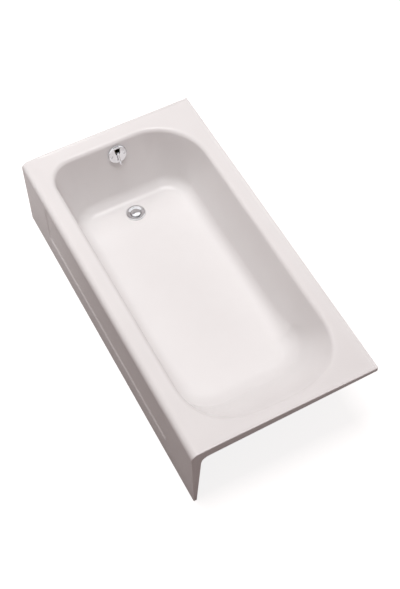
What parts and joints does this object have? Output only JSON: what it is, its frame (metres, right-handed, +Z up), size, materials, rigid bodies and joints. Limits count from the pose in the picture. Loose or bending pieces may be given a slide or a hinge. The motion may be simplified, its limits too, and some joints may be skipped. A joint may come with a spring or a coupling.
{
  "type": "alcove bathtub",
  "caption": "Enamelled cast-iron alcove bathtub with an integral recessed apron, tile bead on three sides, left-hand drain and trip-lever pop-up waste and overflow.",
  "frame": {"origin": "middle of the footprint, on the ground", "axes": "+X from the drain end to the foot end, +Y from the apron to the back wall, +Z up"},
  "size_m": [1.524, 0.768, 0.36],
  "materials": {
    "enamelled_iron": "white vitreous enamel, gloss, on the faces that show; bare casting underneath",
    "chrome": "polished chrome plate",
    "brass": "rough brass, drawn and cast",
    "rubber": "matt black rubber",
    "steel": "zinc-plated steel",
    "bare_iron": "dark painted casting"
  },
  "bodies": {
    "tub": {"tub_shell": "enamelled_iron", "foot_lock_nuts": "steel", "overflow_plate": "chrome", "overflow_screws": "chrome", "lever_bracket": "steel", "lever_pivot_pin": "steel", "overflow_gasket": "rubber", "overflow_elbow": "brass", "elbow_slip_nut": "brass", "elbow_slip_washer": "rubber", "overflow_tube": "brass", "tee_top_nut": "brass", "tee_top_washer": "rubber", "waste_tee": "brass", "tee_side_nut": "brass", "tee_side_washer": "rubber", "waste_tube": "brass", "waste_shoe": "brass", "shoe_gasket": "rubber", "drain_flange": "chrome"},
    "trip_lever": {"trip_lever": "chrome", "linkage_pin": "steel"},
    "linkage": {"linkage_yoke": "brass", "linkage_rod": "brass", "linkage_lock_nut": "brass", "lift_spring": "steel"},
    "rocker": {"rocker_arm": "brass", "clevis_pin": "steel"},
    "stopper": {"stopper_cap": "chrome", "stopper_seal": "rubber", "stopper_stem": "brass"},
    "drain_front_foot": {"drain_front_pad": "bare_iron"},
    "drain_front_screw": {"drain_front_bolt": "steel"},
    "drain_back_foot": {"drain_back_pad": "bare_iron"},
    "drain_back_screw": {"drain_back_bolt": "steel"},
    "foot_front_foot": {"foot_front_pad": "bare_iron"},
    "foot_front_screw": {"foot_front_bolt": "steel"},
    "foot_back_foot": {"foot_back_pad": "bare_iron"},
    "foot_back_screw": {"foot_back_bolt": "steel"}
  },
  "joints": [
    {"name": "lever_tilt", "type": "hinge", "parent": "tub", "child": "trip_lever", "pos_m": [-0.68036, 0.006, 0.29851], "axis": [0, -1, 0], "range_deg": [0, 26.1]},
    {"name": "linkage_drop", "type": "slide", "parent": "tub", "child": "linkage", "axis": [0, 0, -1], "range_m": [0, 0.0153]},
    {"name": "rocker_tip", "type": "hinge", "parent": "tub", "child": "rocker", "pos_m": [-0.603, 0.006, 0.01336], "axis": [0, -1, 0], "range_deg": [0, 7.98]},
    {"name": "stopper_lift", "type": "slide", "parent": "tub", "child": "stopper", "axis": [0, 0, 1], "range_m": [0, 0.01123]},
    {"name": "drain_front_level", "type": "slide", "parent": "tub", "child": "drain_front_foot", "axis": [0, 0, -1], "range_m": [0, 0.012]},
    {"name": "drain_front_turn", "type": "hinge", "parent": "drain_front_foot", "child": "drain_front_screw", "pos_m": [-0.4585, -0.159, 0.03], "axis": [0, 0, -1], "range_deg": [0, 2469.6]},
    {"name": "drain_back_level", "type": "slide", "parent": "tub", "child": "drain_back_foot", "axis": [0, 0, -1], "range_m": [0, 0.012]},
    {"name": "drain_back_turn", "type": "hinge", "parent": "drain_back_foot", "child": "drain_back_screw", "pos_m": [-0.4585, 0.171, 0.03], "axis": [0, 0, -1], "range_deg": [0, 2469.6]},
    {"name": "foot_front_level", "type": "slide", "parent": "tub", "child": "foot_front_foot", "axis": [0, 0, -1], "range_m": [0, 0.012]},
    {"name": "foot_front_turn", "type": "hinge", "parent": "foot_front_foot", "child": "foot_front_screw", "pos_m": [0.3115, -0.159, 0.03], "axis": [0, 0, -1], "range_deg": [0, 2469.6]},
    {"name": "foot_back_level", "type": "slide", "parent": "tub", "child": "foot_back_foot", "axis": [0, 0, -1], "range_m": [0, 0.012]},
    {"name": "foot_back_turn", "type": "hinge", "parent": "foot_back_foot", "child": "foot_back_screw", "pos_m": [0.3115, 0.171, 0.03], "axis": [0, 0, -1], "range_deg": [0, 2469.6]}
  ],
  "couplings": [
    {"joint": "lever_tilt", "follows": "linkage_drop", "rad_per_m": 29.666},
    {"joint": "rocker_tip", "follows": "linkage_drop", "rad_per_m": 9.0444},
    {"joint": "stopper_lift", "follows": "linkage_drop", "ratio": 0.72125},
    {"joint": "drain_front_turn", "follows": "drain_front_level", "rad_per_m": 3590.4},
    {"joint": "drain_back_turn", "follows": "drain_back_level", "rad_per_m": 3590.4},
    {"joint": "foot_front_turn", "follows": "foot_front_level", "rad_per_m": 3590.4},
    {"joint": "foot_back_turn", "follows": "foot_back_level", "rad_per_m": 3590.4}
  ]
}
